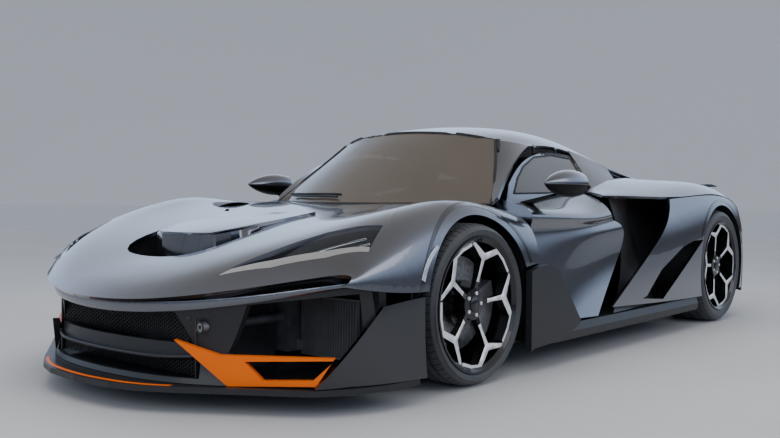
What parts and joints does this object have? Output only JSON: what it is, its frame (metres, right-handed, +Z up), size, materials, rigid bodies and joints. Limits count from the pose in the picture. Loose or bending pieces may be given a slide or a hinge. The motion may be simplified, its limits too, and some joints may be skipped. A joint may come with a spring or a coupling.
{
  "type": "supercar",
  "caption": "Low two-seat mid-engined sports car with upward-opening doors, forked-spoke wheels, a hood duct and a carbon splitter.",
  "frame": {"origin": "on the floor under the middle of the overall length and width", "axes": "+Z up, +X to the car's left, nose towards -Y"},
  "size_m": [2.1254, 4.635, 1.1714],
  "materials": {
    "paint": "satin metallic",
    "carbon": "satin woven",
    "accent": "gloss",
    "glass": "smoked",
    "tyre": "matt",
    "rim": "gloss with machined faces",
    "alloy": "cast",
    "lamp": "gloss",
    "tail_lamp": "gloss",
    "clear_lens": "clear",
    "bright": "satin bright",
    "exhaust": "brushed",
    "engine": "cast",
    "trim": "satin",
    "upholstery": "suede"
  },
  "bodies": {
    "root": {"arch_liners": "trim", "bumper_strip": "paint", "corner_blades": "paint", "dashboard": "trim", "diffuser": "carbon", "ducts": "trim", "engine": "engine", "exhausts": "exhaust", "fascia": "carbon", "fenders": "paint", "fixed_glass": "glass", "frames": "alloy", "headlamps": "lamp", "lamp_blades": "bright", "lamp_lenses": "clear_lens", "nose": "paint", "quarters": "paint", "radiators": "trim", "rear_deck": "paint", "rear_knuckles": "alloy", "roof": "paint", "seats": "upholstery", "sills": "carbon", "splitter": "carbon", "suspension": "alloy", "tail": "paint", "tail_lamps": "tail_lamp", "tub": "carbon", "underbody": "carbon", "vanes": "accent"},
    "wheel_front_left": {"tyre_front_left": "tyre", "wheel_front_left": "rim"},
    "wheel_front_right": {"tyre_front_right": "tyre", "wheel_front_right": "rim"},
    "wheel_rear_left": {"tyre_rear_left": "tyre", "wheel_rear_left": "rim"},
    "wheel_rear_right": {"tyre_rear_right": "tyre", "wheel_rear_right": "rim"},
    "knuckle_front_left": {"knuckle_front_left": "alloy"},
    "knuckle_front_right": {"knuckle_front_right": "alloy"},
    "door_left": {"door_left": "paint", "door_glass_left": "glass", "mirror_left": "paint"},
    "door_right": {"door_right": "paint", "door_glass_right": "glass", "mirror_right": "paint"},
    "steering_wheel": {"steering_wheel": "trim"},
    "wing": {"wing": "carbon"}
  },
  "joints": [
    {"name": "steer_front_left", "type": "hinge", "parent": "root", "child": "knuckle_front_left", "pos_m": [0.7775, -1.0775, 0.334], "axis": [0, 0, 1], "range_deg": [-32, 32]},
    {"name": "steer_front_right", "type": "hinge", "parent": "root", "child": "knuckle_front_right", "pos_m": [-0.7775, -1.0775, 0.334], "axis": [0, 0, 1], "range_deg": [-32, 32]},
    {"name": "spin_front_left", "type": "hinge", "parent": "knuckle_front_left", "child": "wheel_front_left", "pos_m": [0.8525, -1.0775, 0.334], "axis": [1, 0, 0], "continuous": true},
    {"name": "spin_front_right", "type": "hinge", "parent": "knuckle_front_right", "child": "wheel_front_right", "pos_m": [-0.8525, -1.0775, 0.334], "axis": [1, 0, 0], "continuous": true},
    {"name": "spin_rear_left", "type": "hinge", "parent": "root", "child": "wheel_rear_left", "pos_m": [0.8325, 1.6025, 0.354], "axis": [1, 0, 0], "continuous": true},
    {"name": "spin_rear_right", "type": "hinge", "parent": "root", "child": "wheel_rear_right", "pos_m": [-0.8325, 1.6025, 0.354], "axis": [1, 0, 0], "continuous": true},
    {"name": "door_left_swing", "type": "hinge", "parent": "root", "child": "door_left", "pos_m": [0.604, 0.0925, 1.038], "axis": [0, -1, 0], "range_deg": [0, 72]},
    {"name": "door_right_swing", "type": "hinge", "parent": "root", "child": "door_right", "pos_m": [-0.604, 0.0925, 1.038], "axis": [0, 1, 0], "range_deg": [0, 72]},
    {"name": "steering_wheel_turn", "type": "hinge", "parent": "root", "child": "steering_wheel", "pos_m": [0.34, -0.2175, 0.68], "axis": [0, 0.9487, 0.3162], "range_deg": [-448, 448]},
    {"name": "wing_lift", "type": "slide", "parent": "root", "child": "wing", "axis": [0, 0, 1], "range_m": [0, 0.06]}
  ],
  "couplings": [
    {"joint": "steer_front_right", "follows": "steer_front_left", "ratio": 1},
    {"joint": "steering_wheel_turn", "follows": "steer_front_left", "ratio": 14}
  ]
}
